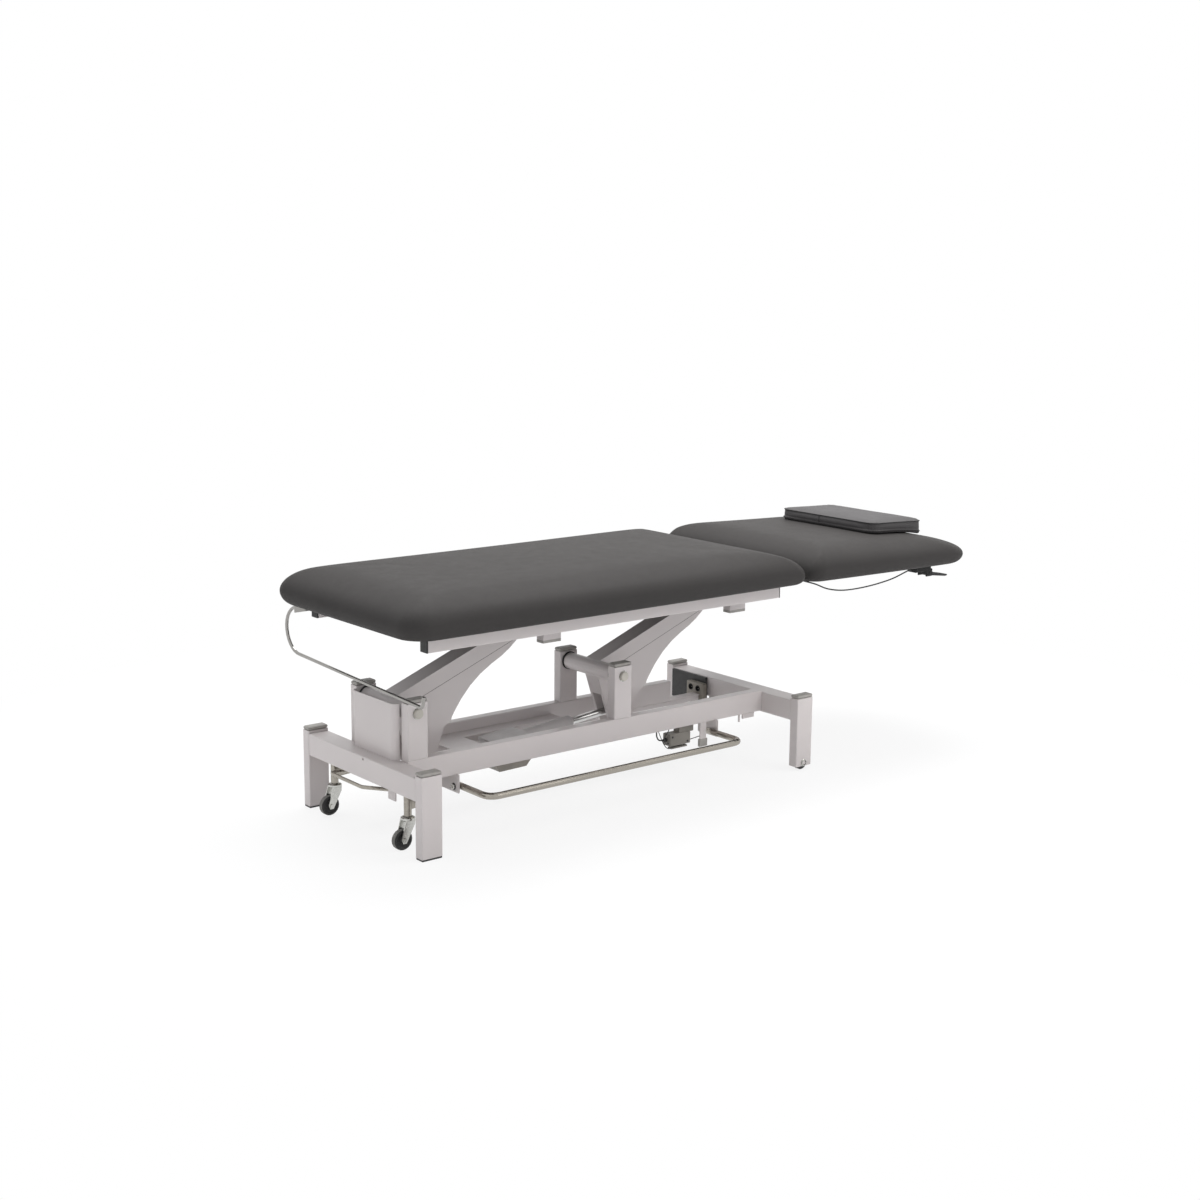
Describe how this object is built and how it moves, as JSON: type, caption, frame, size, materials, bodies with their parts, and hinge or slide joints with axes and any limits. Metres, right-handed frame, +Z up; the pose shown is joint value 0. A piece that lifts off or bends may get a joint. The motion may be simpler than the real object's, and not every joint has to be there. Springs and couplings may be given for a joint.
{
  "type": "electric massage table",
  "caption": "Height-adjustable treatment couch on parallel lift arms, with a tilting head section, loose pillow, foot bar switch, lowering casters and paper-roll bar.",
  "frame": {"origin": "on the floor, under the middle of the bounding box", "axes": "+X along the couch towards the head section, +Y away from the foot bar side, +Z up"},
  "size_m": [2.044, 0.668, 0.6736],
  "materials": {
    "white_paint": "satin powder coat",
    "grey_cap": "moulded tube plug",
    "black_plastic": "moulded, matt",
    "upholstery": "soft grained synthetic leather",
    "board": "black covered plywood",
    "black_metal": "black coated",
    "polished_steel": "ground",
    "housing": "moulded housing",
    "switch_plastic": "moulded housing",
    "cord_black": "smooth sheath",
    "stainless": "polished stainless",
    "zinc": "bright zinc plate",
    "wheel_rubber": "rubber tread"
  },
  "bodies": {
    "base": {"actuator_mount": "white_paint", "control_box": "housing", "foot_cover": "white_paint", "foot_cross_beam": "white_paint", "foot_leg_cap_front": "grey_cap", "foot_leg_cap_rear": "grey_cap", "foot_leg_front": "white_paint", "foot_leg_rear": "white_paint", "foot_pad_front": "black_plastic", "foot_pad_rear": "black_plastic", "foot_post_cap_front": "grey_cap", "foot_post_cap_rear": "grey_cap", "foot_post_front": "white_paint", "foot_post_rear": "white_paint", "front_beam": "white_paint", "head_cross_beam": "white_paint", "head_leg_cap_front": "grey_cap", "head_leg_cap_rear": "grey_cap", "head_leg_front": "white_paint", "head_leg_rear": "white_paint", "mid_post_cap_front": "grey_cap", "mid_post_cap_rear": "grey_cap", "mid_post_front": "white_paint", "mid_post_rear": "white_paint", "rear_beam": "white_paint", "switch_box": "switch_plastic", "switch_lead": "cord_black", "tray": "white_paint"},
    "foot_arm": {"foot_arm": "white_paint"},
    "mid_arm": {"mid_arm": "white_paint"},
    "top_frame": {"rail_front": "white_paint", "rail_rear": "white_paint", "rail_cap_foot_front": "black_plastic", "rail_cap_foot_rear": "black_plastic", "rail_cap_head_front": "black_plastic", "rail_cap_head_rear": "black_plastic", "foot_hanger": "white_paint", "mid_hanger": "white_paint", "main_board": "board", "main_cushion": "upholstery", "main_hinge_leaf": "black_metal", "paper_bar": "stainless"},
    "actuator_body": {"actuator_body": "housing"},
    "actuator_rod": {"actuator_rod": "polished_steel"},
    "head_section": {"head_hinge_leaf": "black_metal", "head_board": "board", "head_cushion": "upholstery", "release_cable": "cord_black"},
    "gas_cylinder": {"gas_cylinder": "black_metal"},
    "gas_rod": {"gas_rod": "polished_steel"},
    "release_lever": {"release_lever": "black_plastic"},
    "pillow": {"pillow": "upholstery"},
    "foot_bar": {"foot_bar": "stainless"},
    "caster_carrier": {"caster_carrier": "white_paint"},
    "caster_fork_front": {"caster_fork_front": "zinc"},
    "caster_fork_rear": {"caster_fork_rear": "zinc"},
    "caster_wheel_front": {"caster_wheel_front": "wheel_rubber"},
    "caster_wheel_rear": {"caster_wheel_rear": "wheel_rubber"},
    "head_roller_front": {"head_roller_front": "black_plastic"},
    "head_roller_rear": {"head_roller_rear": "black_plastic"}
  },
  "joints": [
    {"name": "lift", "type": "hinge", "parent": "base", "child": "foot_arm", "pos_m": [-0.8755, 0, 0.328], "axis": [0, -1, 0], "range_deg": [-19, 40]},
    {"name": "mid_lift", "type": "hinge", "parent": "base", "child": "mid_arm", "pos_m": [-0.2115, 0, 0.328], "axis": [0, -1, 0], "range_deg": [-19, 40]},
    {"name": "top_level", "type": "hinge", "parent": "foot_arm", "child": "top_frame", "pos_m": [-0.455, 0, 0.49], "axis": [0, -1, 0], "range_deg": [-40, 19]},
    {"name": "actuator_swing", "type": "hinge", "parent": "base", "child": "actuator_body", "pos_m": [-0.5915, 0, 0.158], "axis": [0, -1, 0], "range_deg": [-3.7, 7.7]},
    {"name": "actuator_stroke", "type": "slide", "parent": "actuator_body", "child": "actuator_rod", "axis": [0.9962, 0, 0.0876], "range_m": [-0.04, 0.083]},
    {"name": "head_tilt", "type": "hinge", "parent": "top_frame", "child": "head_section", "pos_m": [0.3115, 0, 0.566], "axis": [0, -1, 0], "range_deg": [0, 55]},
    {"name": "gas_swing", "type": "hinge", "parent": "top_frame", "child": "gas_cylinder", "pos_m": [0.0115, 0.19, 0.446], "axis": [0, -1, 0], "range_deg": [0, 8.7]},
    {"name": "gas_stroke", "type": "slide", "parent": "gas_cylinder", "child": "gas_rod", "axis": [0.9856, 0, 0.169], "range_m": [0, 0.0365]},
    {"name": "release_pull", "type": "hinge", "parent": "head_section", "child": "release_lever", "pos_m": [0.864, -0.258, 0.518], "axis": [0, -1, 0], "range_deg": [0, 12], "stiffness_Nm_per_rad": 1.5},
    {"name": "pillow_lift", "type": "slide", "parent": "head_section", "child": "pillow", "axis": [0, 0, 1], "range_m": [0, 0.15]},
    {"name": "foot_bar_rock", "type": "hinge", "parent": "base", "child": "foot_bar", "pos_m": [-0.324, -0.128, 0.118], "axis": [1, 0, 0], "range_deg": [-7, 7], "stiffness_Nm_per_rad": 60, "springref_deg": -2.29},
    {"name": "caster_lower", "type": "hinge", "parent": "base", "child": "caster_carrier", "pos_m": [-0.876, 0, 0.118], "axis": [0, -1, 0], "range_deg": [0, 10]},
    {"name": "caster_swivel_front", "type": "hinge", "parent": "caster_carrier", "child": "caster_fork_front", "pos_m": [-0.934, -0.175, 0.086], "axis": [0, 0, 1], "continuous": true},
    {"name": "caster_roll_front", "type": "hinge", "parent": "caster_fork_front", "child": "caster_wheel_front", "pos_m": [-0.952, -0.175, 0.0275], "axis": [0, 1, 0], "continuous": true},
    {"name": "head_roll_front", "type": "hinge", "parent": "base", "child": "head_roller_front", "pos_m": [0.342, -0.269, 0.022], "axis": [0, 1, 0], "continuous": true},
    {"name": "caster_swivel_rear", "type": "hinge", "parent": "caster_carrier", "child": "caster_fork_rear", "pos_m": [-0.934, 0.175, 0.086], "axis": [0, 0, 1], "continuous": true},
    {"name": "caster_roll_rear", "type": "hinge", "parent": "caster_fork_rear", "child": "caster_wheel_rear", "pos_m": [-0.952, 0.175, 0.0275], "axis": [0, 1, 0], "continuous": true},
    {"name": "head_roll_rear", "type": "hinge", "parent": "base", "child": "head_roller_rear", "pos_m": [0.342, 0.269, 0.022], "axis": [0, 1, 0], "continuous": true}
  ],
  "couplings": [
    {"joint": "mid_lift", "follows": "lift", "ratio": 1},
    {"joint": "top_level", "follows": "lift", "ratio": -1},
    {"joint": "actuator_swing", "follows": "lift", "ratio": 0.1883},
    {"joint": "actuator_stroke", "follows": "lift", "m_per_rad": 0.1178},
    {"joint": "gas_swing", "follows": "head_tilt", "ratio": 0.1562},
    {"joint": "gas_stroke", "follows": "head_tilt", "m_per_rad": 0.0378}
  ]
}
